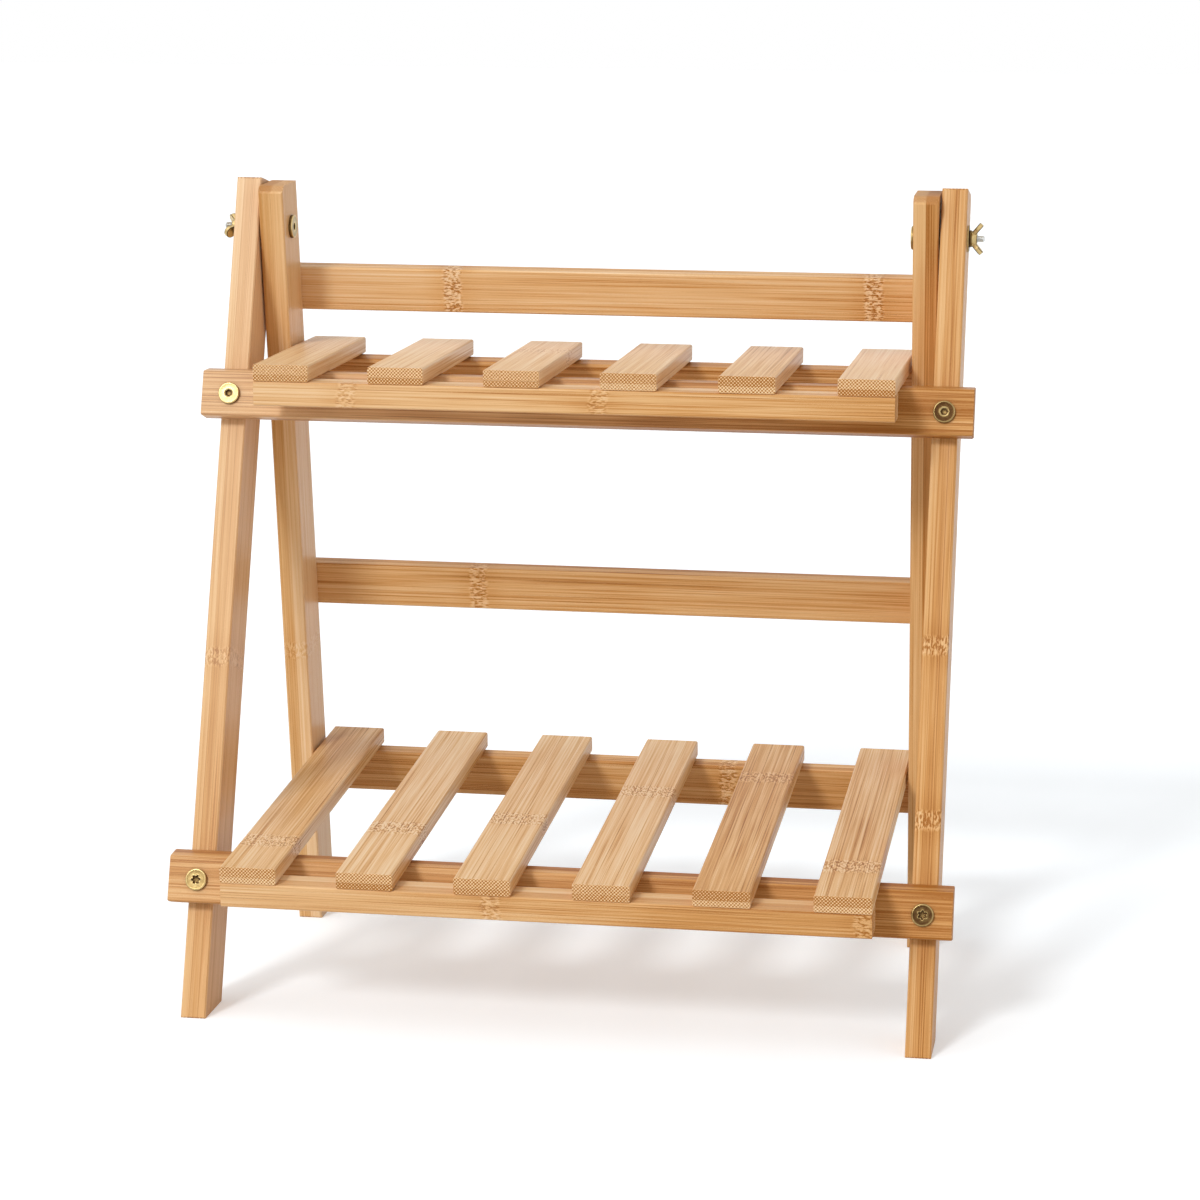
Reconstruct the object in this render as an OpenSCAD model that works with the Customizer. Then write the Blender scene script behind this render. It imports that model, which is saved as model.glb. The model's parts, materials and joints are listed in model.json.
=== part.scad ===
// Folding shelving unit: two crossing frames of bamboo, bolted together at the top,
// with two slatted shelves that rest on rails and lift off.
// X runs along the shelves, Y runs from front to back, Z is up.
// The origin is on the floor, midway between the front and back of the lower shelf.

/* [Frame] */
// Length of the two front rails, the widest pieces
frame_w = 460; // [400:5:600]
// Height of the pivots above the floor
pivot_h = 452; // [430:1:520]
// Backward lean of the front legs, in degrees
front_lean = 17.8; // [15:0.1:20]
// Forward lean of the rear legs, in degrees
rear_lean = 9.4; // [6:0.1:12]

/* [Legs] */
// Thickness of a leg, across the unit
leg_t = 15; // [12:0.5:20]
// Depth of a leg, front to back
leg_d = 35; // [28:0.5:45]
// Front leg above the pivot, at its outer corner
front_head = 26; // [22:0.5:40]
// Rear leg above the pivot, at its outer corner
rear_head = 24.5; // [22:0.5:40]
// Rise of a leg's top towards its inner corner, in degrees
head_slope = 7; // [0:0.5:12]
// Width of the cut on the inner corner of a leg's top
head_cut_w = 5; // [2:0.5:8]
// Height of the cut on the inner corner of a leg's top
head_cut_h = 3; // [1.5:0.5:5]

/* [Rails] */
// Height of a rail's front face
rail_h = 27; // [20:0.5:34]
// Thickness of a rail
rail_t = 12; // [9:0.5:16]
// Front rail past the outer face of a front leg
rail_overrun = 9.5; // [2:0.5:20]
// Rear rail short of the outer face of a rear leg
rail_inset = 0.5; // [0:0.1:3]
// Top edge of the top back rail below the pivots, along the legs
top_rail_drop = 30; // [22:0.5:40]
// Top edge of the middle back rail below the pivots, along the legs
middle_rail_drop = 223.5; // [180:0.5:260]

/* [Shelves] */
// Underside of the upper shelf below the pivots
upper_shelf_drop = 82; // [70:1:95]
// Fall of the upper shelf towards the front, in degrees
upper_tilt = 0; // [0:0.5:4]
// Height of the lower shelf's underside above the floor, under the pivots
lower_shelf_h = 104; // [80:1:140]
// Fall of the lower shelf towards the front, in degrees
lower_tilt = 4; // [0:0.5:5]
// Number of slats in a shelf
slat_count = 6; // [4:1:8]
// Width of a slat
slat_w = 33; // [25:0.5:42]
// Thickness of a slat
slat_t = 10; // [8:0.5:14]
// Shelf past the front edge of its front rail
front_reach = 44; // [30:1:60]
// Shelf past the back edge of its rear rail
rear_reach = 5; // [2:0.5:12]
// Depth of the cleat under the slats' front ends
cleat_d = 20; // [14:0.5:26]
// Height of that cleat
cleat_h = 14.5; // [10:0.5:20]

/* [Bolts and screws] */
// Diameter of the pivot bolts and the front rail bolts
bolt_d = 4; // [3.5:0.1:5]
// Thickness of a bolt's head
head_t = 2.2; // [1.8:0.1:3]
// Diameter of a pivot bolt's head
pivot_head_d = 14; // [11:0.5:18]
// Diameter of a front rail bolt's head
rail_head_d = 13; // [10:0.5:16]
// Size across the flats of a hex socket
socket_af = 3; // [2.5:0.1:3.5]
// Depth of a socket
socket_depth = 1.5; // [1:0.1:1.7]
// Bolt past the outer washer, through the wing nut
bolt_end = 9; // [7:0.1:12]
// Diameter of a threaded insert
insert_d = 7; // [6:0.1:9]
// Length of a threaded insert
insert_len = 12; // [8:0.5:16]
// Diameter of a wood screw
screw_d = 3.5; // [3:0.1:4.5]
// Diameter of a wood screw's head
screw_head_d = 7; // [6:0.1:9]
// Grip of a rear rail screw in the leg
rail_screw_grip = 23; // [15:1:26]
// Grip of a cleat screw in the slat
slat_screw_grip = 5.5; // [4:0.5:6.5]

/* [Washers and wing nuts] */
// Diameter of a washer under a wing nut
washer_d = 16; // [12:0.5:20]
// Thickness of that washer
washer_t = 1; // [0.8:0.1:1.6]
// Diameter of a washer between two legs
spacer_d = 9; // [8:0.5:14]
// Thickness of that washer
spacer_t = 0.8; // [0.5:0.1:1.5]
// Diameter of a wing nut's base
nut_d = 10; // [9:0.5:12]
// Height of a wing nut's hub
nut_h = 4.5; // [4:0.1:6]
// Thickness of a wing
wing_t = 2.8; // [2:0.1:3.2]
// Width of a wing
wing_w = 7; // [5:0.5:9]
// Reach of a wing's tip from the bolt's axis
wing_r = 9.6; // [8.5:0.1:12]
// Height of the straight rim under a wing nut's taper
nut_rim_h = 1.2; // [0.6:0.1:2]
// Narrowing of a wing nut's hub above that rim, on the radius
nut_taper = 1.2; // [0.6:0.1:2]
// Outward flare of the wings, in degrees
wing_flare = 40; // [20:1:50]
// Turn of the left wing nut from upright, in degrees
left_nut_turn = 55; // [-90:5:90]
// Turn of the right wing nut from upright, in degrees
right_nut_turn = 0; // [-90:5:90]

/* [Fits] */
// Radial clearance of a pivot bolt in its bores
pin_clearance = 0.08; // [0.02:0.01:0.1]
// Radial clearance of bolts, screws and inserts in other holes
hole_clearance = 0.1; // [0.05:0.01:0.2]
// Gap between faces that rest on or turn against each other
face_gap = 0.1; // [0.05:0.01:0.3]
// Gap between a shelf and the rear leg beside it
side_gap = 1.7; // [1:0.1:4]
// Flat on the long edges of every wooden piece
edge_break = 0.8; // [0.4:0.1:1.2]

/* [Hidden] */
$fn = 48;
SIDES = [-1, 1];
SIDE_NAMES = ["left", "right"];

// Level of the upper shelf's underside
upper_shelf_h = pivot_h - upper_shelf_drop;

// Places across the unit, on its right half
front_out_x = frame_w / 2 - rail_overrun;
front_in_x = front_out_x - leg_t;
leg_gap = spacer_t + 2 * face_gap;
rear_out_x = front_in_x - leg_gap;
rear_in_x = rear_out_x - leg_t;
front_leg_x = front_out_x - leg_t / 2;
rear_leg_x = rear_out_x - leg_t / 2;
shelf_w = 2 * (rear_in_x - side_gap);
slat_pitch = (shelf_w - slat_w) / (slat_count - 1);
SLATS = [1:slat_count];

// Where a rail's top edge must lie, along the leg from the pivot, to carry a shelf.
// v is that edge's distance behind the leg's centre line.
function seat(lean, v, shelf_h, tilt) =
    (shelf_h - face_gap - pivot_h + v * (sin(lean) + tan(tilt) * cos(lean)))
    / (cos(lean) - tan(tilt) * sin(lean));
// Distance behind the pivot of a point u along a leaning leg and v behind its centre line
function behind(lean, u, v) = u * sin(lean) + v * cos(lean);

front_v = -(leg_d / 2 + rail_t);
rear_v = leg_d / 2 + rail_t - edge_break;
upper_front_u = seat(front_lean, front_v, upper_shelf_h, upper_tilt);
lower_front_u = seat(front_lean, front_v, lower_shelf_h, lower_tilt);
upper_rear_u = seat(-rear_lean, rear_v, upper_shelf_h, upper_tilt);
lower_rear_u = seat(-rear_lean, rear_v, lower_shelf_h, lower_tilt);

// Front and back ends of each shelf, along its slope from the plane of the pivots
upper_y0 = behind(front_lean, upper_front_u, front_v) / cos(upper_tilt) - front_reach;
upper_y1 = behind(-rear_lean, upper_rear_u, rear_v) / cos(upper_tilt) + rear_reach;
lower_y0 = behind(front_lean, lower_front_u, front_v) / cos(lower_tilt) - front_reach;
lower_y1 = behind(-rear_lean, lower_rear_u, rear_v) / cos(lower_tilt) + rear_reach;
pivot_y = -((lower_y0 + lower_y1) * cos(lower_tilt) - slat_t * sin(lower_tilt)) / 2;

// Bolts
pivot_grip = 2 * leg_t + leg_gap + washer_t;
pivot_len = pivot_grip + bolt_end;
rail_bolt_len = rail_t + insert_len;
rim_break = 0.7;
washer_x = front_out_x + washer_t;
nut_turns = [left_nut_turn, right_nut_turn];

// Outline with a flat of width c cut along both sides of every corner
function unit(p) = p / norm(p);
function broken(points, c) = [
    for (i = [0:len(points) - 1])
        let (p = points[i],
             before = points[(i + len(points) - 1) % len(points)],
             after = points[(i + 1) % len(points)])
        each [p + c * unit(before - p), p + c * unit(after - p)]];
function rectangle(x0, x1, y0, y1) = [[x0, y0], [x1, y0], [x1, y1], [x0, y1]];

// Frame of a leaning leg: its origin is the pivot, Z runs up the leg and Y behind it
module leaning(lean) {
    translate([0, pivot_y, pivot_h]) rotate([-lean, 0, 0]) children();
}

// Frame of a shelf: its origin is on the underside, in the plane of the pivots
module on_shelf(shelf_h, tilt) {
    translate([0, pivot_y, shelf_h]) rotate([tilt, 0, 0]) children();
}

// A side view, drawn as [y, z], made into a piece of a given width about x = 0
module across(width) {
    rotate([90, 0, 90]) translate([0, 0, -width / 2]) linear_extrude(width) children();
}

// Leg with its pivot bore. inner is the side, front (-1) or back (1), of the other leg.
module leg(lean, head, inner) {
    v = leg_d / 2;
    crest = head + (leg_d - head_cut_w) * tan(head_slope);
    function foot(v) = (v * sin(lean) - pivot_h) / cos(lean);
    side_view = [
        [-inner * v, head],
        [inner * (v - head_cut_w), crest],
        [inner * v, crest - head_cut_h],
        [inner * v, foot(inner * v)],
        [-inner * v, foot(-inner * v)]];
    section = broken(rectangle(-leg_t / 2, leg_t / 2, -v, v), edge_break);
    difference() {
        intersection() {
            across(leg_t) polygon(broken(side_view, edge_break));
            translate([0, 0, foot(0) - leg_d]) linear_extrude(crest - foot(0) + 2 * leg_d)
                polygon(section);
        }
        translate([-leg_t, 0, 0]) rotate([0, 90, 0])
            cylinder(r = bolt_d / 2 + pin_clearance, h = 2 * leg_t);
    }
}

// Front rail: its top is planed to the slope of the slats that rest on it
module front_rail(u, tilt) {
    rise = rail_t * tan(front_lean + tilt);
    section = [[front_v, u - rail_h], [-leg_d / 2, u - rail_h],
        [-leg_d / 2, u + rise], [front_v, u]];
    face = rectangle(-frame_w / 2, frame_w / 2, u - rail_h, u + rise);
    difference() {
        intersection() {
            across(frame_w) polygon(broken(section, edge_break));
            rotate([90, 0, 0]) linear_extrude(leg_d + 2 * rail_t) polygon(broken(face, edge_break));
        }
        rail_bolt_places(u) cylinder(r = bolt_d / 2 + hole_clearance, h = 3 * rail_t, center = true);
    }
}

// Rear rail, on the back faces of the rear legs, its screw holes sunk from behind
module rear_rail(u) {
    length = 2 * (rear_out_x - rail_inset);
    section = rectangle(leg_d / 2, leg_d / 2 + rail_t, u - rail_h, u);
    face = rectangle(-length / 2, length / 2, u - rail_h, u);
    difference() {
        intersection() {
            across(length) polygon(broken(section, edge_break));
            translate([0, leg_d + rail_t, 0]) rotate([90, 0, 0]) linear_extrude(leg_d + rail_t)
                polygon(broken(face, edge_break));
        }
        for (side = SIDES) rail_screw_place(side, u) wood_screw(rail_t, rail_t, hole_clearance);
    }
}

// Places of the two bolts of a front rail: Z points out of the rail's front face
module rail_bolt_places(u) {
    for (side = SIDES) rail_bolt_place(side, u) children();
}
module rail_bolt_place(side, u) {
    translate([side * front_leg_x, front_v, u - rail_h / 2]) rotate([90, 0, 0]) children();
}
// Place of a rear rail's screw: Z points out of the rail's back face
module rail_screw_place(side, u) {
    translate([side * rear_leg_x, leg_d / 2 + rail_t, u - rail_h / 2]) rotate([-90, 0, 0])
        children();
}

// Countersunk wood screw that goes down from z = 0, or the hole for it
module wood_screw(clamped, grip, clearance) {
    r = screw_d / 2 + clearance;
    head_r = screw_head_d / 2 + clearance;
    tip = screw_d;
    rotate_extrude() polygon([[0, 0], [head_r, 0], [r, -(head_r - r)],
        [r, tip - clamped - grip], [0, -clamped - grip]]);
}

// Flat-headed bolt: its head stands on z = 0 and its shank goes down
module bolt(head_d, length) {
    r = bolt_d / 2;
    rotate_extrude() polygon([[0, head_t], [head_d / 2 - rim_break, head_t],
        [head_d / 2, head_t - rim_break], [head_d / 2, 0], [r, 0],
        [r, r / 4 - length], [r * 3 / 4, -length], [0, -length]]);
}
module hex_socket() {
    translate([0, 0, head_t - socket_depth]) cylinder(d = socket_af / cos(30), h = head_t, $fn = 6);
}
module six_lobe_socket() {
    lobes = 6;
    root_r = socket_af * 0.42;
    lobe_r = socket_af * 0.16;
    translate([0, 0, head_t - socket_depth]) linear_extrude(head_t) {
        circle(r = root_r);
        for (i = [1:lobes]) rotate(360 / lobes * i) translate([root_r, 0]) circle(r = lobe_r);
    }
}

module ring(outer_d, thickness, hole_r) {
    difference() {
        cylinder(d = outer_d, h = thickness);
        translate([0, 0, -thickness]) cylinder(r = hole_r, h = 3 * thickness);
    }
}

// Pieces of the front frame
module front_leg(side) {
    color("burlywood") leaning(front_lean) difference() {
        translate([side * front_leg_x, 0, 0]) leg(front_lean, front_head, 1);
        for (u = [upper_front_u, lower_front_u])
            rail_bolt_place(side, u) translate([0, 0, -rail_t - insert_len - bolt_d / 2])
                cylinder(r = insert_d / 2 + hole_clearance, h = insert_len + rail_t + bolt_d / 2);
    }
}
module upper_front_rail() {
    color("burlywood") leaning(front_lean) front_rail(upper_front_u, upper_tilt);
}
module lower_front_rail() {
    color("burlywood") leaning(front_lean) front_rail(lower_front_u, lower_tilt);
}
module upper_rail_bolt(side) {
    color("goldenrod") leaning(front_lean) rail_bolt_place(side, upper_front_u) difference() {
        bolt(rail_head_d, rail_bolt_len);
        hex_socket();
    }
}
module lower_rail_bolt(side) {
    color("goldenrod") leaning(front_lean) rail_bolt_place(side, lower_front_u) difference() {
        bolt(rail_head_d, rail_bolt_len);
        six_lobe_socket();
    }
}
module rail_insert(side, u) {
    color("silver") leaning(front_lean) rail_bolt_place(side, u)
        translate([0, 0, -rail_bolt_len]) ring(insert_d, insert_len, bolt_d / 2 + hole_clearance);
}
module pivot_washer(side) {
    color("goldenrod") translate([side * front_out_x, pivot_y, pivot_h]) rotate([0, side * 90, 0])
        ring(washer_d, washer_t, bolt_d / 2 + hole_clearance);
}

// Pieces of the rear frame
module rear_leg(side) {
    color("burlywood") leaning(-rear_lean) difference() {
        translate([side * rear_leg_x, 0, 0]) leg(-rear_lean, rear_head, -1);
        for (u = [-top_rail_drop, -middle_rail_drop, upper_rear_u, lower_rear_u])
            rail_screw_place(side, u) wood_screw(rail_t, rail_screw_grip, hole_clearance);
    }
}
module back_rail(u) {
    color("burlywood") leaning(-rear_lean) rear_rail(u);
}
module back_rail_screws(u) {
    color("silver") leaning(-rear_lean) for (side = SIDES)
        rail_screw_place(side, u) wood_screw(rail_t, rail_screw_grip, 0);
}
module pivot_bolt(side) {
    color("goldenrod") translate([side * rear_in_x, pivot_y, pivot_h]) rotate([0, -side * 90, 0])
        difference() {
            bolt(pivot_head_d, pivot_len);
            hex_socket();
        }
}
module pivot_spacer(side) {
    color("silver") translate([side * (rear_out_x + face_gap), pivot_y, pivot_h])
        rotate([0, side * 90, 0]) ring(spacer_d, spacer_t, bolt_d / 2 + hole_clearance);
}

// Wing nut: a tapered hub with two flat wings that flare outwards
module wing_nut(side, turn) {
    bore_r = bolt_d / 2 + hole_clearance;
    neck_r = nut_d / 2 - nut_taper;
    root = [neck_r - wing_t / 2, nut_rim_h + wing_t / 4];
    reach = (wing_r - wing_t / 2 * sin(wing_flare) - root[0]) / cos(wing_flare);
    tip = reach - wing_w / 2;
    root_w = wing_w * 0.72;
    color("goldenrod") translate([side * (washer_x + face_gap), pivot_y, pivot_h])
        rotate([0, side * 90, 0]) rotate([0, 0, turn]) difference() {
            union() {
                rotate_extrude() polygon([[0, 0], [nut_d / 2, 0], [nut_d / 2, nut_rim_h],
                    [neck_r, nut_rim_h + nut_taper * 2 / 3], [neck_r - nut_taper / 2, nut_h],
                    [0, nut_h]]);
                for (half = [0, 180]) rotate([0, 0, half]) translate([root[0], 0, root[1]])
                    rotate([0, -wing_flare, 0]) translate([0, 0, -wing_t / 2])
                        linear_extrude(wing_t) {
                            translate([tip, 0]) circle(d = wing_w);
                            polygon([[0, -root_w / 2], [tip, -wing_w / 2],
                                [tip, wing_w / 2], [0, root_w / 2]]);
                        }
            }
            translate([0, 0, -wing_r]) cylinder(r = bore_r, h = 3 * wing_r);
        }
}

// Pieces of a shelf, in the shelf's own frame
function slat_x(i) = (i - (slat_count + 1) / 2) * slat_pitch;
module slat(i, y0, y1) {
    section = rectangle(slat_x(i) - slat_w / 2, slat_x(i) + slat_w / 2, 0, slat_t);
    difference() {
        translate([0, y1, 0]) rotate([90, 0, 0]) linear_extrude(y1 - y0)
            polygon(broken(section, edge_break));
        slat_screw_place(i, y0) wood_screw(cleat_h, slat_screw_grip, hole_clearance);
    }
}
module slat_screw_place(i, y0) {
    translate([slat_x(i), y0 + cleat_d / 2, -cleat_h]) rotate([180, 0, 0]) children();
}
module cleat(y0) {
    section = rectangle(y0, y0 + cleat_d, -cleat_h, 0);
    difference() {
        across(shelf_w) polygon(broken(section, edge_break));
        for (i = SLATS) slat_screw_place(i, y0) wood_screw(cleat_h, cleat_h, hole_clearance);
    }
}
module cleat_screws(y0) {
    for (i = SLATS) slat_screw_place(i, y0) wood_screw(cleat_h, slat_screw_grip, 0);
}
module upper_slat(i) {
    color("burlywood") on_shelf(upper_shelf_h, upper_tilt) slat(i, upper_y0, upper_y1);
}
module lower_slat(i) {
    color("burlywood") on_shelf(lower_shelf_h, lower_tilt) slat(i, lower_y0, lower_y1);
}
module upper_shelf_cleat() {
    color("tan") on_shelf(upper_shelf_h, upper_tilt) cleat(upper_y0);
}
module lower_shelf_cleat() {
    color("tan") on_shelf(lower_shelf_h, lower_tilt) cleat(lower_y0);
}
module upper_cleat_screws() {
    color("silver") on_shelf(upper_shelf_h, upper_tilt) cleat_screws(upper_y0);
}
module lower_cleat_screws() {
    color("silver") on_shelf(lower_shelf_h, lower_tilt) cleat_screws(lower_y0);
}

for (k = [0, 1]) {
    side = SIDES[k];
    name = SIDE_NAMES[k];
    front_leg(side);
    rear_leg(side);
    pivot_bolt(side);
    pivot_spacer(side);
    pivot_washer(side);
    wing_nut(side, nut_turns[k]);
    upper_rail_bolt(side);
    lower_rail_bolt(side);
    rail_insert(side, upper_front_u);
    rail_insert(side, lower_front_u);
}
upper_front_rail();
lower_front_rail();
back_rail(-top_rail_drop);  // top_back_rail
back_rail(-middle_rail_drop);  // middle_back_rail
back_rail(upper_rear_u);  // upper_shelf_rear_rail
back_rail(lower_rear_u);  // lower_shelf_rear_rail
for (i = SLATS) {
    upper_slat(i);
    lower_slat(i);
}
upper_shelf_cleat();
lower_shelf_cleat();
upper_cleat_screws();
lower_cleat_screws();
back_rail_screws(-top_rail_drop);  // top_rail_screws
back_rail_screws(-middle_rail_drop);  // middle_rail_screws
back_rail_screws(upper_rear_u);  // upper_rear_rail_screws
back_rail_screws(lower_rear_u);  // lower_rear_rail_screws
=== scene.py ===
"""Folding shelving unit in laminated bamboo with brass fittings, in a plain pale studio.

Lengths are metres, except where a name or a comment says mm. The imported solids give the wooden
pieces and the wing nuts their shapes. Bolts, washers and screws are turned here on their places.
"""

import json
import math
import random

import bmesh
import bpy
from mathutils import Matrix, Vector


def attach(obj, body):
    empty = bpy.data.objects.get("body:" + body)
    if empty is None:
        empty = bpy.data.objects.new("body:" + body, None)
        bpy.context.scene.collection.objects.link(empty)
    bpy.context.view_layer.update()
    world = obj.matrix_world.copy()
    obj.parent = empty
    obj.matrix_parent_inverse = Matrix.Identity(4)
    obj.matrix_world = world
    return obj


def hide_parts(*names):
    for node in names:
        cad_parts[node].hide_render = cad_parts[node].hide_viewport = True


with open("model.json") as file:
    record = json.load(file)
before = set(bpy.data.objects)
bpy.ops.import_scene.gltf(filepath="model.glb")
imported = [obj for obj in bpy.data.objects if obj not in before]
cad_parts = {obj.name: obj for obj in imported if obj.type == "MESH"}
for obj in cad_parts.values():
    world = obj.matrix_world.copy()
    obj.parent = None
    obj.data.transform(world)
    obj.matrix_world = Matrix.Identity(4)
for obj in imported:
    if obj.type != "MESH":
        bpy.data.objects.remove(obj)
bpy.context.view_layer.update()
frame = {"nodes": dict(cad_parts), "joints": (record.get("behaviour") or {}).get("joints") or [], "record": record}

MM = 0.001
TURN = 2 * math.pi
SIDES = {"left": -1, "right": 1}

# The frames lean from the pivots, and the lower shelf falls towards the front
FRONT_LEAN, REAR_LEAN, LOWER_TILT = (math.radians(d) for d in (17.8, -9.4, 4))
UPPER_SHELF_H, LOWER_SHELF_H = 0.370, 0.104
PIVOT = Vector(next(j["pos_m"] for j in frame["joints"] if j["name"] == "frame_fold"))

# Sections of the wood, and places to the side of the middle plane, in mm
LEG_D, RAIL_T, RAIL_H = 35.0, 12.0, 27.0
LEG_X, REAR_LEG_X = 213.0, 197.0
PIVOT_HEAD_X, PIVOT_WASHER_X, WING_NUT_X = 189.5, 220.5, 221.6


def leaning(lean):
    """Frame of a leaning leg: origin at the pivot, Z up the leg, Y behind it."""
    return Matrix.Translation(PIVOT) @ Matrix.Rotation(-lean, 4, "X")


def sloping(height, tilt):
    """Frame of a shelf: origin on its underside in the plane of the pivots, Y along the slats."""
    return Matrix.Translation((0, PIVOT.y, height)) @ Matrix.Rotation(tilt, 4, "X")


FRONT, REAR = leaning(FRONT_LEAN), leaning(REAR_LEAN)
UPPER, LOWER = sloping(UPPER_SHELF_H, 0), sloping(LOWER_SHELF_H, LOWER_TILT)


def packed_points(node, base):
    """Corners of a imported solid, in the frame base."""
    inverse = base.inverted()
    return [inverse @ v.co for v in frame["nodes"][node].data.vertices]


def link(made):
    bpy.context.scene.collection.objects.link(made)
    return made


# Camera: a 105 mm lens on the photograph's square frame, right of the middle and looking down
YAW, PITCH, ROLL = (math.radians(d) for d in (-9.367, 10.843, -0.246))
CAMERA_AT = Vector((0.34383, -2.02383, 0.63001))
FOCAL_PX, FRAME_PX, SENSOR_MM = 3499.8, 1200, 36


def add_camera():
    forward = Vector(
        (math.sin(YAW) * math.cos(PITCH), math.cos(YAW) * math.cos(PITCH), -math.sin(PITCH))
    )
    right = Vector((math.cos(YAW), -math.sin(YAW), 0))
    down = forward.cross(right)
    across = right * math.cos(ROLL) + down * math.sin(ROLL)
    below = down * math.cos(ROLL) - right * math.sin(ROLL)
    turned_to = Matrix((across, -below, -forward)).transposed().to_4x4()
    data = bpy.data.cameras.new("camera")
    data.sensor_width = SENSOR_MM
    data.lens = FOCAL_PX * SENSOR_MM / FRAME_PX
    camera = link(bpy.data.objects.new("camera", data))
    camera.matrix_world = Matrix.Translation(CAMERA_AT) @ turned_to
    bpy.context.scene.camera = camera


# Materials


class Nodes:
    """Shorthand for the nodes of a shader tree. A value is a node's output or a constant."""

    def __init__(self, tree):
        self.tree, self.nodes = tree, tree.nodes

    def feed(self, socket, value):
        if isinstance(value, bpy.types.NodeSocket):
            self.tree.links.new(value, socket)
        elif value is not None:
            socket.default_value = value

    def node(self, kind, *values, out=0, **settings):
        made = self.nodes.new("ShaderNode" + kind)
        for key, value in settings.items():
            setattr(made, key, value)
        for socket, value in zip(made.inputs, values):
            self.feed(socket, value)
        return made.outputs[out]

    def math(self, operation, *values):
        return self.node("Math", *values, operation=operation)

    def chain(self, operation, values):
        total = values[0]
        for value in values[1:]:
            total = self.math(operation, total, value)
        return total

    def add(self, *values):
        return self.chain("ADD", values)

    def times(self, *values):
        return self.chain("MULTIPLY", values)

    def minus(self, value, taken):
        return self.math("SUBTRACT", value, taken)

    def swing(self, noise, size):
        """A noise about 0.5, made to swing about 0 by the given size."""
        return self.times(self.minus(noise, 0.5), size)

    def step(self, value, low, high, at_low=0.0, at_high=1.0):
        limits = (low, high, at_low, at_high)
        return self.node("MapRange", value, *limits, interpolation_type="SMOOTHSTEP")

    def vector(self, *values):
        return self.node("CombineXYZ", *values)

    def split(self, vector):
        made = self.nodes.new("ShaderNodeSeparateXYZ")
        self.feed(made.inputs[0], vector)
        return tuple(made.outputs)

    def noise(self, vector, scale=1.0, detail=2.0, roughness=0.5):
        return self.node("TexNoise", vector, None, scale, detail, roughness)

    def attribute(self, name, out="Vector"):
        return self.node("Attribute", attribute_name=name, out=out)

    def ramp(self, value, stops):
        """Colours along value. stops are (place, colour), from low to high."""
        made = self.nodes.new("ShaderNodeValToRGB")
        self.feed(made.inputs[0], value)
        elements = made.color_ramp.elements
        for place, _ in stops[1:-1]:
            elements.new(place)
        for element, (place, color) in zip(elements, stops):
            element.position, element.color = place, (*color, 1)
        return made.outputs[0]

    def blend(self, share, first, second, mode="MIX"):
        """A mix of two colours, which are inputs 6 and 7 and output 2 of the node."""
        made = self.nodes.new("ShaderNodeMix")
        made.data_type, made.blend_type = "RGBA", mode
        self.feed(made.inputs[0], share)
        for socket, value in zip(made.inputs[6:8], (first, second)):
            self.feed(socket, (*value, 1) if isinstance(value, tuple) else value)
        return made.outputs[2]

    def direct(self):
        """1 where the camera or a reflection looks, and 0 for the light that pieces receive."""
        rays = self.nodes.new("ShaderNodeLightPath").outputs
        mirrored = self.math("MAXIMUM", rays["Is Glossy Ray"], rays["Is Transmission Ray"])
        return self.math("MAXIMUM", rays["Is Camera Ray"], mirrored)


class Surface(Nodes):
    """A material with a Principled shader."""

    def __init__(self, name):
        self.material = bpy.data.materials.new(name)
        self.material.use_nodes = True
        super().__init__(self.material.node_tree)
        self.shader = self.nodes["Principled BSDF"]

    def bump(self, height, distance, strength):
        made = self.nodes.new("ShaderNodeBump")
        made.inputs["Strength"].default_value = strength
        made.inputs["Distance"].default_value = distance
        self.feed(made.inputs["Height"], height)
        self.feed(self.shader.inputs["Normal"], made.outputs[0])

    def set(self, **sockets):
        for name, value in sockets.items():
            self.feed(self.shader.inputs[name.replace("_", " ")], value)
        return self.material


# Darkness of bamboo and its colours, from cream over honey and tan to brown
DARKNESS = (
    (0.0, (0.87, 0.65, 0.41)),
    (0.42, (0.755, 0.464, 0.213)),
    (0.70, (0.605, 0.300, 0.096)),
    (1.0, (0.36, 0.13, 0.022)),
)
MEAN_DARKNESS = 0.5
PALE, BLUSH, BLUSH_SHARE = (0.92, 0.72, 0.54), (1.0, 0.94, 0.92), 0.5
# How much darkness each kind of mark adds or swings by
BANDS, MOTTLE, FIBRES, LINES, SEAM, HALO = 0.34, 0.26, 1.15, 0.26, 0.22, 0.18
LIGHT_DASH, DARK_DASH = -0.60, 0.50
END_GRAIN, END_LAYERS, END_HATCH, END_CLOUD = 0.35, 0.22, 1.05, 0.5
# From one layer to the next: radians along a wave of lightness, and a random shift of the grain
LAYER_STEP, LAYER_SHIFT = 2.4, 90.0
# Reach of a glue line and of a bamboo node's halo, and the share over which a node fades out
SEAM_MM, HALO_MM, KNOT_EDGE = 0.30, 22.0, 0.3
# A bamboo node wavers by so many mm, this often in a mm
WAVER_MM, WAVERS = 6.0, 0.16
# Rows of fibre bundles: radians in a mm, a random shift in each layer, and how far noise warps
# them
ROW_TURN, ROW_SHIFT, ROW_WARP = 3.15, 9.0, 4.0
# Relief: its height, and what each kind of mark adds to that of the fibres
RELIEF_H, LINES_RELIEF, KNOTS_RELIEF, HATCH_RELIEF = 0.00010, -0.4, -0.15, 0.6
SATIN, FIBRES_ROUGHNESS, END_ROUGHNESS, SHINE = 0.36, 0.25, 0.20, 0.13


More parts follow.
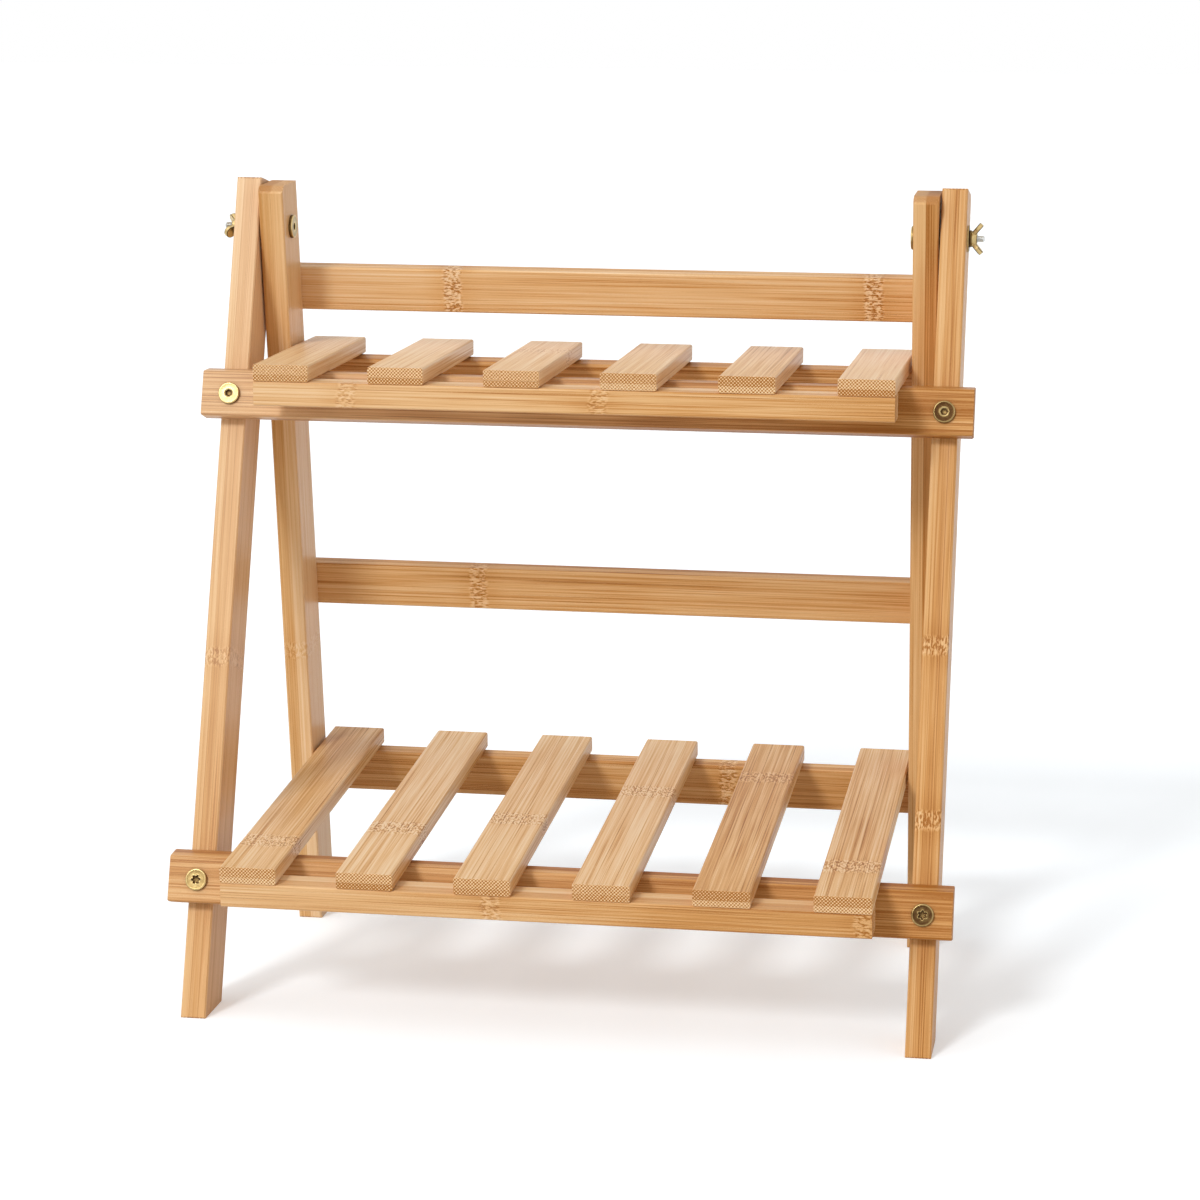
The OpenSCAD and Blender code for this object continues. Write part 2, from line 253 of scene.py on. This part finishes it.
def bamboo(name, layer_mm, seam_mm, tone=0.0, grain_depth=1.0, layer_depth=0.17, knot_mm=5.5):
    """Laminated bamboo.

    layer_mm is a layer's thickness, seam_mm the place of one glue line, and knot_mm half the length
    of a bamboo node. tone is added to the darkness, grain_depth multiplies the grain, and
    layer_depth is how far the layers differ.

    The mesh gives each point its place in the piece in mm (grain: along, across, through), its
    distances in mm from two bamboo nodes and the piece's seed (knot), its darkness, its paleness
    and how strong the bamboo nodes are (tone), and how far its face shows end grain (end). On some
    pieces the darkness and paleness carry painted shade, painted light and a painted sheen.
    """
    s = Surface(name)
    grain = s.attribute("grain")
    _, across, through = s.split(grain)
    first_knot, second_knot, seed = s.split(s.attribute("knot"))
    dark, pale, knotty = s.split(s.attribute("tone"))
    end = s.attribute("end", "Fac")
    not_end = s.minus(1.0, end)
    dark = s.add(dark, MEAN_DARKNESS + tone)

    # Layers, each with its own lightness, tint and grain, and the glue lines between them
    depth = s.math("DIVIDE", s.minus(through, seam_mm), layer_mm)
    layer = s.math("FLOOR", depth)
    chance = s.node("TexWhiteNoise", s.vector(layer, seed, 0.0), out="Color")
    _, red, row_start = s.split(chance)
    light = s.math("SINE", s.add(seed, s.times(layer, LAYER_STEP)))
    shift = s.node("VectorMath", chance, (LAYER_SHIFT,) * 3, operation="MULTIPLY")
    from_seam = s.times(s.math("ABSOLUTE", s.minus(depth, s.math("ROUND", depth))), layer_mm)
    seam = s.step(from_seam, 0.0, SEAM_MM, SEAM, 0.0)

    def streaks(length_mm, width_mm, detail, roughness=0.5):
        """Noise that is drawn out along the grain, and differs from layer to layer."""
        cells = (1 / length_mm, 1 / width_mm, 1 / width_mm)
        place = s.node("VectorMath", grain, cells, shift, operation="MULTIPLY_ADD")
        return s.noise(place, 1.0, detail, roughness)

    fibres = streaks(length_mm=120, width_mm=1.2, detail=3, roughness=0.62)
    lines = streaks(length_mm=190, width_mm=0.75, detail=1)
    lines = s.step(lines, low=0.53, high=0.70)
    bands = streaks(length_mm=300, width_mm=5.0, detail=1)
    mottle = streaks(length_mm=70, width_mm=16, detail=2)

    # Bamboo nodes: rows of short dark and light dashes, and darker wood about them
    waver = s.noise(s.vector(seed, s.times(across, WAVERS), s.times(through, WAVERS)))
    waver = s.swing(waver, WAVER_MM)
    near = [s.math("ABSOLUTE", s.add(knot, waver)) for knot in (first_knot, second_knot)]
    distance = s.math("MINIMUM", *near)
    ring = s.step(distance, (1 - KNOT_EDGE) * knot_mm, (1 + KNOT_EDGE) * knot_mm, 1.0, 0.0)
    dashes = streaks(length_mm=2.6, width_mm=1.0, detail=1)
    dashes = s.step(dashes, low=0.42, high=0.60, at_low=LIGHT_DASH, at_high=DARK_DASH)
    halo = s.step(distance, 0.0, HALO_MM, HALO, 0.0)
    knots = s.times(s.add(s.times(ring, dashes), halo), knotty)

    side_darkness = s.add(
        dark,
        s.times(light, layer_depth),
        s.swing(bands, BANDS * grain_depth),
        s.swing(mottle, MOTTLE),
        s.swing(fibres, FIBRES * grain_depth),
        s.times(lines, LINES * grain_depth),
        knots,
        seam,
    )

    # End grain: the fibre bundles stand in crossing diagonal rows
    section = s.vector(across, through, seed)
    warp = s.swing(s.noise(section, 0.35), ROW_WARP)
    start = s.times(row_start, ROW_SHIFT)
    rows = [
        s.math("SINE", s.add(s.times(s.math(way, across, through), ROW_TURN), start, warp))
        for way in ("ADD", "SUBTRACT")
    ]
    hatch = s.times(s.add(*rows), 0.5)
    end_darkness = s.add(
        s.add(dark, END_GRAIN),
        s.times(light, END_LAYERS),
        s.times(hatch, END_HATCH),
        s.swing(s.noise(section, 0.8), END_CLOUD),
        seam,
    )

    darkness = s.add(s.times(side_darkness, not_end), s.times(end_darkness, end))
    color = s.ramp(darkness, DARKNESS)
    color = s.blend(s.times(red, BLUSH_SHARE), color, BLUSH, "MULTIPLY")
    # Paleness: the wood's own, and on some pieces painted light and a painted sheen
    color = s.blend(s.times(pale, not_end), color, PALE)
    relief = s.add(
        fibres,
        s.times(lines, LINES_RELIEF),
        s.times(knots, KNOTS_RELIEF),
        s.times(hatch, end, HATCH_RELIEF),
    )
    s.bump(relief, distance=RELIEF_H, strength=0.8)
    rough = s.add(SATIN, s.swing(fibres, FIBRES_ROUGHNESS), s.times(end, END_ROUGHNESS))
    return s.set(Base_Color=color, Roughness=rough, Specular_IOR_Level=SHINE)


# Metal runs from bright over dull to deep, by tarnish and painted shade, fine speckles and wider clouds
DULL_AT, SPECKLE_DULLS, CLOUD_DULLS = 0.62, 0.45, 0.30
SPECKLE_MM, CLOUDS_PER_M, SPECKLE_H = 0.3, 260.0, 0.00004
SPECKLE_ROUGHNESS, PATINA_ROUGHNESS = 0.25, 0.15


def metal(name, bright, dull, deep, roughness):
    """Satin metal with a fine speckle. The mesh says how dull each point is, painted shade too."""
    s = Surface(name)
    place = s.node("TexCoord", out="Object")
    speckle = s.noise(place, 1 / (SPECKLE_MM * MM))
    cloud = s.noise(place, CLOUDS_PER_M)
    patina_and_shade = s.attribute("patina_and_shade", "Fac")
    dullness = s.add(s.swing(speckle, SPECKLE_DULLS), s.swing(cloud, CLOUD_DULLS), patina_and_shade)
    color = s.ramp(dullness, ((0.0, bright), (DULL_AT, dull), (1.0, deep)))
    s.bump(speckle, distance=SPECKLE_H, strength=0.6)
    uneven = s.swing(speckle, SPECKLE_ROUGHNESS)
    rough = s.add(roughness, uneven, s.times(patina_and_shade, PATINA_ROUGHNESS))
    return s.set(Base_Color=color, Roughness=rough, Metallic=1.0)


FLOOR_TINT, FLOOR_GLOW_TINT, FLOOR_CLOUD = (1.0, 1.035, 1.06), (1.0, 1.01, 1.02, 1), 0.02


def floor_material(shade, glow):
    """Pale floor. The camera and reflections see it near white, with the object's shadow on it."""
    s = Surface("floor")
    s.set(Base_Color=(0.80, 0.79, 0.78, 1), Roughness=0.9, Specular_IOR_Level=0.0)
    cool = tuple(min(1.0, shade * c) for c in FLOOR_TINT)
    cloud = s.times(s.noise(s.node("TexCoord", out="Object"), 3.0), FLOOR_CLOUD)
    lit = s.node("BsdfDiffuse", s.blend(cloud, cool, (shade,) * 3))
    seen = s.node("AddShader", lit, s.node("Emission", FLOOR_GLOW_TINT, glow))
    mixed = s.node("MixShader", s.direct(), s.shader.outputs[0], seen)
    s.feed(s.nodes["Material Output"].inputs["Surface"], mixed)
    return s.material


# Meshes


def add_piece(name, bm, base, body, material, slot, *replaced, sharp_deg=35):
    """Adds the mesh bm, made in the frame base, as a piece in the place of the named nodes."""
    bm.transform(base)
    mesh = bpy.data.meshes.new(name)
    bm.to_mesh(mesh)
    bm.free()
    mesh.shade_smooth()
    mesh.set_sharp_from_angle(angle=math.radians(sharp_deg))
    mesh.materials.append(material)
    piece = link(bpy.data.objects.new(name, mesh))
    even = piece.modifiers.new("even shading", "WEIGHTED_NORMAL")
    even.keep_sharp = True
    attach(piece, body)
    if replaced:
        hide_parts(*replaced)


WELD, ARRIS_R = 4e-6, 0.00034
FLAT_DEG, ARRIS_TURN = 0.5, 0.2


def rounded_solid(node, base):
    """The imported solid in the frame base, with the arrises of its outer faces rounded."""
    bm = bmesh.new()
    bm.from_mesh(frame["nodes"][node].data)
    bmesh.ops.remove_doubles(bm, verts=bm.verts, dist=WELD)
    bm.transform(base.inverted())
    flat = math.radians(FLAT_DEG)
    bmesh.ops.dissolve_limit(bm, angle_limit=flat, verts=bm.verts, edges=bm.edges)
    bm.normal_update()
    points = [v.co.copy() for v in bm.verts]
    outer = set()
    for face in bm.faces:
        centre = face.calc_center_median()
        if all((p - centre).dot(face.normal) < 5 * WELD for p in points):
            outer.add(face)
    arrises = [
        edge
        for edge in bm.edges
        if len(edge.link_faces) == 2
        and outer.issuperset(edge.link_faces)
        and edge.calc_face_angle(0) > ARRIS_TURN
    ]
    bmesh.ops.bevel(
        bm,
        geom=arrises,
        offset=ARRIS_R,
        offset_type="OFFSET",
        segments=2,
        profile=0.5,
        affect="EDGES",
        clamp_overlap=True,
    )
    return bm


# Axes of a piece's own frame that its grain runs along, across and through
LEG, RAIL, SLAT = (2, 1, 0), (0, 2, 1), (1, 0, 2)
# These give the layers of the legs their order of light and dark
SEEDS = {
    "rear_leg_left": -1.57,
    "rear_leg_right": 1.57,
    "front_leg_left": 3.23,
    "front_leg_right": 2.75,
}
# Places of the bamboo nodes along a piece in mm, two at most
KNOTS = {
    "front_leg_left": (-265.6,),
    "front_leg_right": (-344.6, -243.8),
    "rear_leg_left": (-269.9,),
    "top_back_rail": (-94.7, 163.6),
    "middle_back_rail": (-85.3,),
    "lower_shelf_rear_rail": (72.4,),
    "upper_shelf_cleat": (-132.2, 16.5),
    "lower_shelf_cleat": (-29.3, 183.0),
    "upper_slat_3": (-1.6,),
    "lower_slat_1": (-140.8,),
    "lower_slat_2": (-106.8,),
    "lower_slat_3": (-79.8,),
    "lower_slat_4": (-17.2,),
    "lower_slat_5": (20.9,),
    "lower_slat_6": (-138.3,),
}
FAR_MM = 9000.0
# Darkness and how much it grows along the piece, paleness likewise, strength of the bamboo nodes.
# Much of the growth along the pieces is painted light and shade, as noted below.
TONES = {
    # Legs: the front legs and the right rear leg darker towards the foot, painted shade; the left front leg paler
    # towards the top, painted light; the left rear leg darker towards the pivot, painted shadow of the front leg.
    # The right-hand legs' greater darkness is partly their own tone and partly painted fall-off of the light.
    "front_leg_left": (0.16, -0.08, 0.15, 0.20, 0.4),
    "front_leg_right": (0.25, -0.10, 0, 0, 0.55),
    "rear_leg_left": (0.04, 0.26, 0, 0, 0.3),
    "rear_leg_right": (0.23, -0.08, 0, 0, 0.3),
    # Top back rail: darker towards the right end, painted fall-off of the light from the left
    "top_back_rail": (-0.07, 0.12, 0, 0, 0.9),
    "middle_back_rail": (0.04, 0, 0, 0, 0.6),
    "lower_shelf_rear_rail": (-0.12, 0, 0, 0, 0.7),
    # Front rails: darker and less pale towards the right end, painted shadow of the cleats and slats; paler at the
    # left end, painted light. Cleats: the same slopes, painted fall-off of the light from the left.
    "upper_front_rail": (0.23, 0.26, 0.09, -0.22, 0),
    "lower_front_rail": (0.29, 0.20, 0.02, -0.08, 0),
    "upper_shelf_cleat": (-0.02, 0.23, 0.02, -0.12, 0.35),
    "lower_shelf_cleat": (0.02, 0.25, 0.02, -0.10, 0.5),
    # Upper slats: paler from slat 1 to slat 6, a painted sheen
    "upper_slat_1": (-0.10, 0, 0, 0, 0.6),
    "upper_slat_2": (-0.08, 0, 0.05, 0, 0.6),
    "upper_slat_3": (0.05, 0, 0.10, 0, 0.6),
    "upper_slat_4": (-0.04, 0, 0.14, 0, 0.6),
    "upper_slat_5": (-0.04, 0, 0.20, 0, 0.6),
    "upper_slat_6": (0.10, 0, 0.32, 0, 0.6),
    "lower_slat_1": (-0.07, 0.26, 0, 0, 0.7),
    "lower_slat_2": (0.06, 0, 0, 0, 0.7),
    "lower_slat_3": (0.09, 0, 0, 0, 0.7),
    "lower_slat_4": (0.08, 0, 0, 0, 0.7),
    "lower_slat_5": (0.05, 0, 0, 0, 0.5),
}
PLAIN = (0, 0, 0, 0, 0.7)
# A face begins to show end grain where its normal leans this far along the grain
END_FROM, END_SPAN = 0.45, 0.3


def wood(node, body, base, axes, material, slot="bamboo"):
    """A wooden piece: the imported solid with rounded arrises, and the grain laid out along it."""
    bm = rounded_solid(node, base)
    grain = bm.verts.layers.float_vector.new("grain")
    knot = bm.verts.layers.float_vector.new("knot")
    tone = bm.verts.layers.float_vector.new("tone")
    end = bm.faces.layers.float.new("end")
    middle = [(min(c) + max(c)) / 2 for c in zip(*(v.co for v in bm.verts))]
    low, high = (f(v.co[axes[0]] for v in bm.verts) for f in (min, max))
    seed = SEEDS.get(node, random.Random(node).uniform(3, 40))
    first, second = (KNOTS.get(node, ()) + (FAR_MM, FAR_MM))[:2]
    dark, dark_slope, pale, pale_slope, knotty = TONES.get(node, PLAIN)
    for v in bm.verts:
        share = (v.co[axes[0]] - low) / (high - low) - 0.5
        along, across, through = (v.co[i] / MM for i in axes)
        v[grain] = (along, across - middle[axes[1]] / MM, through - middle[axes[2]] / MM)
        v[knot] = (along - first, along - second, seed)
        # The slopes paint shade and light along some pieces, as noted at TONES
        v[tone] = (dark + dark_slope * share, pale + pale_slope * share, knotty)
    for f in bm.faces:
        f[end] = min(1.0, max(0.0, (abs(f.normal[axes[0]]) - END_FROM) / END_SPAN))
    add_piece(node + "_wood", bm, base, body, material, slot, node, sharp_deg=38)


def turned(rings, steps=48, closed=False):
    """Surface through rings of (height, radius) in mm, dulled by tarnish and painted shade where a third value
    says so.

    A radius may depend on the angle. The surface is capped at both ends, or closed on itself.
    """
    bm = bmesh.new()
    dull = bm.verts.layers.float.new("patina_and_shade")
    loops = []
    for z, r, *patina_and_shade in rings:
        loop = []
        for i in range(steps):
            a = TURN * i / steps
            radius = r(a) if callable(r) else r
            vert = bm.verts.new((radius * math.cos(a) * MM, radius * math.sin(a) * MM, z * MM))
            vert[dull] = patina_and_shade[0] if patina_and_shade else 0.0
            loop.append(vert)
        loops.append(loop)
    pairs = list(zip(loops, loops[1:])) + ([(loops[-1], loops[0])] if closed else [])
    for low, high in pairs:
        for i in range(steps):
            bm.faces.new((low[i - 1], low[i], high[i], high[i - 1]))
    if not closed:
        bm.faces.new(loops[0][::-1])
        bm.faces.new(loops[-1])
    bmesh.ops.recalc_face_normals(bm, faces=bm.faces)
    return bm


# Outlines of sockets and recesses: the radius in mm at an angle


def hexagon(across_flats):
    return lambda a: across_flats / 2 / math.cos((a + TURN / 12) % (TURN / 6) - TURN / 12)


def circle(radius):
    return lambda a: radius


def six_lobes(radius, swing):
    return lambda a: radius + swing * math.cos(6 * a)


def cross(core, arm):
    return lambda a: core + (arm - core) * abs(math.cos(2 * a)) ** 10


def shrunk(outline, share):
    return lambda a: share * outline(a)


def widened(outline, by):
    return lambda a: outline(a) + by


# M4 bolts, in mm
BOLT_R, HEAD_T, RAIL_HEAD_R, PIVOT_HEAD_R = 2.0, 2.2, 6.5, 7.0
THREAD_PITCH, RINGS_A_TURN, POINT_MM, POINT_NARROWS = 0.7, 6, 0.8, 0.45
RIM_SHARE = 0.55


def head(radius, socket, mouth, patina_and_shade):
    """Rings of a flat bolt head, from its underside over the rim to the bottom of its socket.

    mouth is the outer edge of the socket's small countersink, and the last argument is how dull
    the face is. The underside, the lower side wall and the socket, darker towards its bottom, are
    painted dark: painted shade.
    """
    top, rim = HEAD_T, RIM_SHARE * patina_and_shade
    return [
        # Underside and side wall, darker towards the wood: painted shade
        (0.0, BOLT_R, 0.9),
        (0.0, radius - 0.12, 0.9),
        (0.12, radius, 0.8),
        (top - 0.75, radius, 0.6),
        (top - 0.42, radius - 0.08, rim),
        (top - 0.16, radius - 0.30, rim - 0.1),
        (top, radius - 0.66, rim),
        (top, radius - 1.0, patina_and_shade),
        (top - 0.08, radius - 1.35, patina_and_shade + 0.1),
        (top - 0.08, widened(mouth, 0.35), patina_and_shade),
        (top, widened(mouth, 0.12), rim),
        (top - 0.03, mouth, rim - 0.1),
        # Socket, darker with depth: painted shade
        (top - 0.28, lambda a: 0.3 * mouth(a) + 0.7 * socket(a), 0.3),
        (top - 0.45, socket, 0.85),
        (top - 1.35, socket, 1),
        (top - 1.5, shrunk(socket, 0.75), 0.95),
        (top - 1.62, 0.5, 0.75),
    ]


def shank(length, core, crest, plain):
    """Rings of a bolt's shank that goes down from z = 0 in mm, plain at first and then threaded."""
    threaded = length - plain - POINT_MM
    count = int(threaded / THREAD_PITCH * RINGS_A_TURN)

    def ridge(z):
        def radius(a):
            phase = (z / THREAD_PITCH + a / TURN) % 1
            return core + (crest - core) * (1 - abs(2 * phase - 1))

        return radius

    heights = [-plain - i * threaded / count for i in range(1, count + 1)]
    return [
        (0.0, crest),
        (-plain, crest),
        *((z, ridge(z)) for z in heights),
        (-length + POINT_MM / 2, core),
        (-length, core - POINT_NARROWS),
    ]


VOXEL = 0.00022
# Dullness of a casting: tarnish everywhere, darker on a bend beyond that of a smooth face, and
# painted shade towards the foot, where it sits on the washer
CAST_PATINA, BEND_DARKENING, FOOT_SHADE = 0.14, 9.0, 0.5
SMOOTH_BEND, FOOT_MM = 0.006, 2.6


def cast(node, body, base, material, slot):
    """A small casting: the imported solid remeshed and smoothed, so that its arrises are soft."""
    bm = bmesh.new()
    bm.from_mesh(frame["nodes"][node].data)
    bm.transform(base.inverted())
    rough = bpy.data.meshes.new(node + "_rough")
    bm.to_mesh(rough)
    bm.free()
    block = link(bpy.data.objects.new(node + "_rough", rough))
    remesh = block.modifiers.new("remesh", "REMESH")
    remesh.mode, remesh.voxel_size = "VOXEL", VOXEL
    smooth = block.modifiers.new("smooth", "SMOOTH")
    smooth.factor, smooth.iterations = 0.5, 5
    graph = bpy.context.evaluated_depsgraph_get()
    bm = bmesh.new()
    bm.from_mesh(block.evaluated_get(graph).to_mesh())
    bm.normal_update()
    bpy.data.objects.remove(block)
    dull = bm.verts.layers.float.new("patina_and_shade")
    for v in bm.verts:
        ways = [(e.other_vert(v).co - v.co).normalized() for e in v.link_edges]
        bend = -sum(way.dot(v.normal) for way in ways) / len(ways)
        on_bend = BEND_DARKENING * max(0.0, bend - SMOOTH_BEND)
        # Painted shade where the nut sits on the washer
        at_foot = FOOT_SHADE * max(0.0, 1 - v.co.z / (FOOT_MM * MM))
        v[dull] = CAST_PATINA + on_bend + at_foot
    add_piece(node + "_casting", bm, base, body, material, slot, node, sharp_deg=180)


def screws(node, body, places, length, material, slot):
    """Countersunk cross-head screws, one piece for the group. places are frames on the surface."""
    recess = cross(0.75, 1.75)
    rings = [
        (-length, 0.25, 0),
        (-length + 3.5, 1.6, 0),
        (-3.4, 1.75, 0),
        (-1.75, 1.8, 0.2),
        (-0.25, 3.42, 0.1),
        (-0.05, 3.46, 0),
        (0.0, 3.3, 0),
        (-0.02, 2.2, 0.1),
        # The cross recess, darker with depth: painted shade
        (-0.25, recess, 0.5),
        (-1.2, shrunk(recess, 0.75), 0.8),
        (-1.7, 0.3, 1),
    ]
    whole = bmesh.new()
    for place in places:
        bm = turned(rings)
        bm.transform(place)
        part = bpy.data.meshes.new("screw")
        bm.to_mesh(part)
        bm.free()
        whole.from_mesh(part)
        bpy.data.meshes.remove(part)
    add_piece(node + "_heads", whole, Matrix.Identity(4), body, material, slot, node)


add_camera()

leg_wood = bamboo(
    "bamboo_leg", layer_mm=5.4, seam_mm=2.7, tone=-0.10, grain_depth=0.78, layer_depth=0.11
)
rear_leg_wood = bamboo("bamboo_rear_leg", layer_mm=8.2, seam_mm=0.0, tone=-0.10, grain_depth=0.85)
rail_wood = bamboo("bamboo_rail", layer_mm=6.6, seam_mm=0.0, tone=0.11, grain_depth=1.25)
slat_wood = bamboo(
    "bamboo_slat", layer_mm=6.6, seam_mm=-1.0, tone=-0.16, grain_depth=1.4, knot_mm=10.5
)
cleat_wood = bamboo("bamboo_cleat", layer_mm=10.8, seam_mm=0.0, tone=-0.12, grain_depth=1.15)
brass = metal(
    "brass",
    bright=(0.74, 0.55, 0.255),
    dull=(0.20, 0.130, 0.047),
    deep=(0.05, 0.022, 0.008),
    roughness=0.30,
)
steel = metal(
    "zinc_steel",
    bright=(0.62, 0.62, 0.60),
    dull=(0.30, 0.29, 0.27),
    deep=(0.10, 0.095, 0.09),
    roughness=0.32,
)

# Wood

for side in SIDES:
    wood("front_leg_" + side, "front_frame", FRONT, LEG, leg_wood)
    wood("rear_leg_" + side, "rear_frame", REAR, LEG, rear_leg_wood)
for node in ("upper_front_rail", "lower_front_rail"):
    wood(node, "front_frame", FRONT, RAIL, rail_wood)

# Back rails and the groups of screws through them
REAR_RAILS = {
    "top_back_rail": "top_rail_screws",
    "middle_back_rail": "middle_rail_screws",
    "upper_shelf_rear_rail": "upper_rear_rail_screws",
    "lower_shelf_rear_rail": "lower_rear_rail_screws",
}
for node in REAR_RAILS:
    wood(node, "rear_frame", REAR, RAIL, rail_wood)
for shelf, base in (("upper", UPPER), ("lower", LOWER)):
    for node in frame["record"]["behaviour"]["bodies"][shelf + "_shelf"]:
        if "_slat_" in node:
            wood(node, shelf + "_shelf", base, SLAT, slat_wood, "bamboo_slat")
    wood(shelf + "_shelf_cleat", shelf + "_shelf", base, RAIL, cleat_wood)

# Bolts, washers and wing nuts

HEX, HEX_MOUTH = hexagon(3.7), circle(2.8)
STAR, STAR_MOUTH = six_lobes(2.2, 0.5), six_lobes(2.65, 0.45)
SOCKETS = {"upper": (HEX, HEX_MOUTH), "lower": (STAR, STAR_MOUTH)}
# How dull the faces of the rail bolts are; the right-hand faces are duller, partly tarnish and partly painted
# shade
FACES = {
    ("upper", "left"): 0.40,
    ("lower", "left"): 0.50,
    ("upper", "right"): 0.96,
    ("lower", "right"): 0.90,
}


def along_x(x_mm, way):
    """Frame on the pivots' axis at x, with Z pointing to the right (way 1) or left (way -1)."""
    at = Matrix.Translation((x_mm * MM, PIVOT.y, PIVOT.z))
    return at @ Matrix.Rotation(way * TURN / 4, 4, "Y")


def rail_seat(rail, side, turn):
    """Frame on a front rail's face at a bolt, with Z pointing out of the face."""
    u_mm = min(p.z for p in packed_points(rail, FRONT)) / MM + RAIL_H / 2
    at = Matrix.Translation((side * LEG_X * MM, -(LEG_D / 2 + RAIL_T) * MM, u_mm * MM))
    return FRONT @ at @ Matrix.Rotation(TURN / 4, 4, "X") @ Matrix.Rotation(turn, 4, "Z")


for name, side in SIDES.items():
    for place, (socket, mouth) in SOCKETS.items():
        seat = rail_seat(place + "_front_rail", side, turn=0.3 + 0.2 * side)
        node = f"{place}_rail_bolt_{name}"
        bm = turned(head(RAIL_HEAD_R, socket, mouth, FACES[place, name]), steps=72)
        add_piece(node + "_head", bm, seat, "front_frame", brass, "brass", node)
        rings = shank(length=RAIL_T + 12.0, core=1.7, crest=BOLT_R, plain=RAIL_T)
        bm = turned(rings, steps=24)
        add_piece(node + "_shank", bm, seat, "front_frame", steel, "zinc")

    node = "pivot_bolt_" + name
    seat = along_x(side * PIVOT_HEAD_X, -side)
    bm = turned(head(PIVOT_HEAD_R, HEX, HEX_MOUTH, patina_and_shade=0.35), steps=72)
    add_piece(node + "_head", bm, seat, "rear_frame", brass, "brass", node)
    rings = shank(length=41.0, core=1.65, crest=BOLT_R - 0.02, plain=30.5)
    bm = turned(rings, steps=32)
    add_piece(node + "_shank", bm, seat, "rear_frame", steel, "zinc")

    node = "pivot_washer_" + name
    # The washer's faces, on the leg and under the nut, are painted dark: painted shade between the parts. Its rim
    # stays bright.
    washer = [
        (0.0, 2.25, 0.7),
        (0.0, 7.75, 0.9),
        (0.2, 8.0, 0.2),
        (0.8, 8.0, 0.2),
        (1.0, 7.7, 0.9),
        (1.0, 2.4, 0.6),
        (0.85, 2.25, 0.8),
    ]
    bm = turned(washer, steps=64, closed=True)
    seat = along_x(side * PIVOT_WASHER_X, side)
    add_piece(node + "_disc", bm, seat, "front_frame", brass, "brass", node)

for name, side in SIDES.items():
    node = "wing_nut_" + name
    cast(node, node, along_x(side * WING_NUT_X, side), brass, "brass")

# Screws, each with its cross turned another way

RAIL_SCREW_MM, CLEAT_SCREW_MM = 35.0, 20.0
SLATS, CLEAT_SCREW_INSET = 6, 0.010


def rail_screw_places(rail):
    heights = [p.z for p in packed_points(rail, REAR)]
    u = (min(heights) + max(heights)) / 2
    for side in SIDES.values():
        at = Matrix.Translation((side * REAR_LEG_X * MM, (LEG_D / 2 + RAIL_T) * MM, u))
        turn = Matrix.Rotation(0.4 * side + 40 * u, 4, "Z")
        yield REAR @ at @ Matrix.Rotation(-TURN / 4, 4, "X") @ turn


def cleat_screw_places(shelf, base):
    cleat = packed_points(shelf + "_shelf_cleat", base)
    y, under = min(p.y for p in cleat) + CLEAT_SCREW_INSET, min(p.z for p in cleat)
    for i in range(1, SLATS + 1):
        across = [p.x for p in packed_points(f"{shelf}_slat_{i}", base)]
        at = Matrix.Translation(((min(across) + max(across)) / 2, y, under))
        turn = Matrix.Rotation(i * 0.7, 4, "Z")
        yield base @ at @ Matrix.Rotation(TURN / 2, 4, "X") @ turn


for rail, node in REAR_RAILS.items():
    screws(node, "rear_frame", rail_screw_places(rail), RAIL_SCREW_MM, steel, "zinc")
for shelf, base in (("upper", UPPER), ("lower", LOWER)):
    places = cleat_screw_places(shelf, base)
    screws(shelf + "_cleat_screws", shelf + "_shelf", places, CLEAT_SCREW_MM, steel, "zinc")

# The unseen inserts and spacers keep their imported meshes
for node, packed in frame["nodes"].items():
    if "insert" in node or "spacer" in node:
        packed.data.materials.clear()
        packed.data.materials.append(steel)

# Studio

FLOOR_REACH = 14.0


def add_floor():
    ways = ((-1, -1), (1, -1), (1, 1), (-1, 1))
    corners = [(x * FLOOR_REACH, y * FLOOR_REACH, 0) for x, y in ways]
    mesh = bpy.data.meshes.new("floor")
    mesh.from_pydata(corners, [], [(0, 1, 2, 3)])
    mesh.materials.append(floor_material(shade=0.83, glow=0.335))
    link(bpy.data.objects.new("floor", mesh))


def add_world(ambient):
    """A white world to the camera and in reflections, and a weaker one as a light."""
    world = bpy.data.worlds.new("studio")
    world.use_nodes = True
    bpy.context.scene.world = world
    s = Nodes(world.node_tree)
    background = s.nodes["Background"].inputs
    s.feed(background["Color"], (1, 1, 1, 1))
    s.feed(background["Strength"], s.node("MapRange", s.direct(), 0.0, 1.0, ambient, 1.0))


def add_sun(name, at, spread_deg, strength, color=(1, 1, 1)):
    """A far, wide lamp, so that the floor is lit evenly. at is the way to it from the unit."""
    data = bpy.data.lights.new(name, "SUN")
    data.angle, data.energy, data.color = math.radians(spread_deg), strength, color
    lamp = link(bpy.data.objects.new(name, data))
    lamp.rotation_euler = Vector(at).to_track_quat("Z", "Y").to_euler()


def add_lamp(name, at, target, size, power):
    data = bpy.data.lights.new(name, "AREA")
    data.shape, data.size, data.energy = "SQUARE", size, power
    lamp = link(bpy.data.objects.new(name, data))
    lamp.location = at
    lamp.rotation_euler = (Vector(target) - Vector(at)).to_track_quat("-Z", "Y").to_euler()


add_floor()
add_world(ambient=0.44)
add_sun("key", (-0.56, -1.38, 1.0), spread_deg=12, strength=1.53, color=(0.965, 1.0, 1.02))
add_sun("top", (-1.1, -0.5, 1.7), spread_deg=70, strength=0.75)
add_sun("fill", (1.3, -0.5, 0.4), spread_deg=60, strength=0.40)
add_lamp("side", (-1.25, -1.35, 1.0), target=(-0.2, 0, 0.4), size=0.7, power=0.7)
bpy.context.scene.view_settings.view_transform = "Standard"
